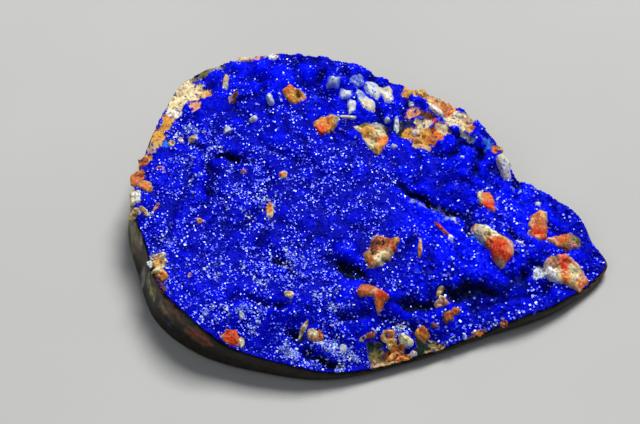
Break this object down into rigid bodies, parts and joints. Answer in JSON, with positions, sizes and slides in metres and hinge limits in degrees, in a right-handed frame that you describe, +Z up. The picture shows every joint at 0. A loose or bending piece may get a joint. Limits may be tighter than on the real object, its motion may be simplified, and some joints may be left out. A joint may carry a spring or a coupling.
{
  "type": "azurite specimen",
  "caption": "Pear-shaped slab of rough azurite druse on host rock, with a flat base, a ground and polished wall and grains of rock in the crust.",
  "frame": {"origin": "middle of the slab's box, on the plane that its flat base rests on", "axes": "+X along the slab's length towards its pointed end, +Z up, out of the rough druse top"},
  "size_m": [0.038, 0.0272, 0.0051],
  "materials": {
    "azurite_and_host_rock": "rough"
  },
  "bodies": {
    "root": {"azurite_stone": "azurite_and_host_rock"}
  },
  "joints": []
}
